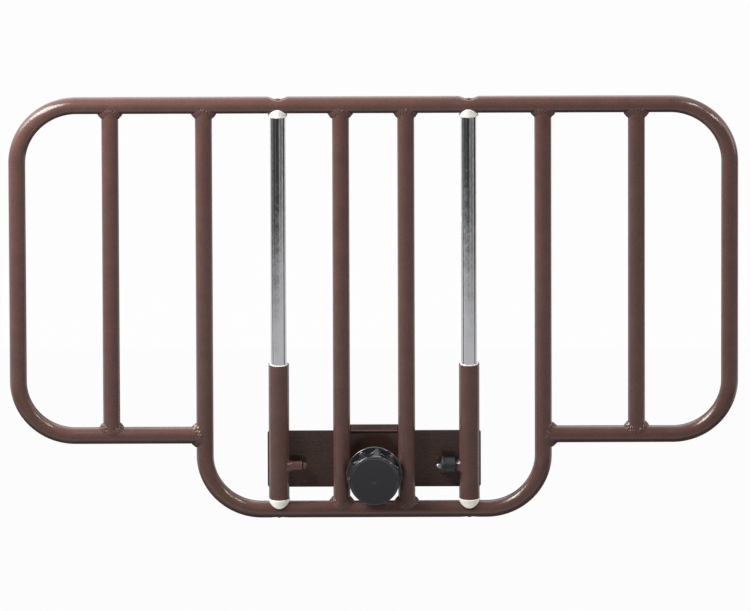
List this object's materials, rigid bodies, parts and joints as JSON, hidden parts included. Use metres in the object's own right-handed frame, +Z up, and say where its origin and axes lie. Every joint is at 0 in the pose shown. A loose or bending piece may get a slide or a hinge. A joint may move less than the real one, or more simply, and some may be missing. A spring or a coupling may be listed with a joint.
{
  "type": "bed guard rail",
  "caption": "Welded tube bed guard rail that drops on two chromed posts in a clamp-on carrier, with a sprung latch and a screw clamp worked by a hand knob.",
  "frame": {"origin": "on the clamp screw's axis, at the rear face of the crossplate, where the bed frame's side rail is gripped", "axes": "+X along the guard, to the right seen from the room; +Y towards the bed, along the clamp screw; +Z up"},
  "size_m": [0.914, 0.104, 0.55],
  "materials": {
    "brown_powder_coat": "glossy brown powder coat with a fine vein texture",
    "dark_powder_coat": "glossy dark brown powder coat",
    "chrome_plate": "bright chrome plate on tube",
    "ivory_nylon": "moulded natural nylon",
    "black_plastic": "moulded black plastic with a fine grain",
    "zinc_plated_steel": "zinc-plated steel"
  },
  "bodies": {
    "carrier": {"left_sleeve": "brown_powder_coat", "right_sleeve": "brown_powder_coat", "left_top_bush": "ivory_nylon", "left_bottom_bush": "ivory_nylon", "right_top_bush": "ivory_nylon", "right_bottom_bush": "ivory_nylon", "crossplate": "dark_powder_coat", "guide_boss": "brown_powder_coat", "guide_screw": "brown_powder_coat", "guide_pad": "ivory_nylon", "latch_boss": "brown_powder_coat", "latch_spring": "zinc_plated_steel", "thrust_washer": "zinc_plated_steel"},
    "guard": {"outer_frame_tube": "brown_powder_coat", "centre_u_tube": "brown_powder_coat", "left_wing_bar": "brown_powder_coat", "right_wing_bar": "brown_powder_coat", "left_centre_bar": "brown_powder_coat", "right_centre_bar": "brown_powder_coat", "left_post": "chrome_plate", "right_post": "chrome_plate", "left_top_post_plug": "zinc_plated_steel", "left_bottom_post_plug": "zinc_plated_steel", "right_top_post_plug": "zinc_plated_steel", "right_bottom_post_plug": "zinc_plated_steel", "left_top_bumper": "ivory_nylon", "left_bottom_bumper": "ivory_nylon", "right_top_bumper": "ivory_nylon", "right_bottom_bumper": "ivory_nylon", "left_top_post_screw": "brown_powder_coat", "left_bottom_post_screw": "brown_powder_coat", "right_top_post_screw": "brown_powder_coat", "right_bottom_post_screw": "brown_powder_coat"},
    "latch": {"latch_pin": "zinc_plated_steel", "pull_knob": "black_plastic", "latch_nut": "zinc_plated_steel"},
    "clamp_knob": {"knob_body": "black_plastic", "knob_cap": "black_plastic", "knob_spacer": "zinc_plated_steel", "clamp_screw": "zinc_plated_steel"},
    "jaw": {"clamp_jaw": "dark_powder_coat", "jaw_nut": "zinc_plated_steel"}
  },
  "joints": [
    {"name": "guard_slide", "type": "slide", "parent": "carrier", "child": "guard", "axis": [0, 0, 1], "range_m": [-0.323, 0]},
    {"name": "latch_pull", "type": "slide", "parent": "carrier", "child": "latch", "axis": [-1, 0, 0], "range_m": [0, 0.005], "stiffness_N_per_m": 600, "springref_m": -0.006, "deforming": ["latch_spring"]},
    {"name": "clamp_knob_turn", "type": "hinge", "parent": "carrier", "child": "clamp_knob", "pos_m": [0, 0, 0], "axis": [0, 1, 0], "range_deg": [0, 4320]},
    {"name": "jaw_travel", "type": "slide", "parent": "carrier", "child": "jaw", "axis": [0, -1, 0], "range_m": [0, 0.018]}
  ],
  "couplings": [
    {"joint": "jaw_travel", "follows": "clamp_knob_turn", "m_per_rad": 0.00023873}
  ]
}
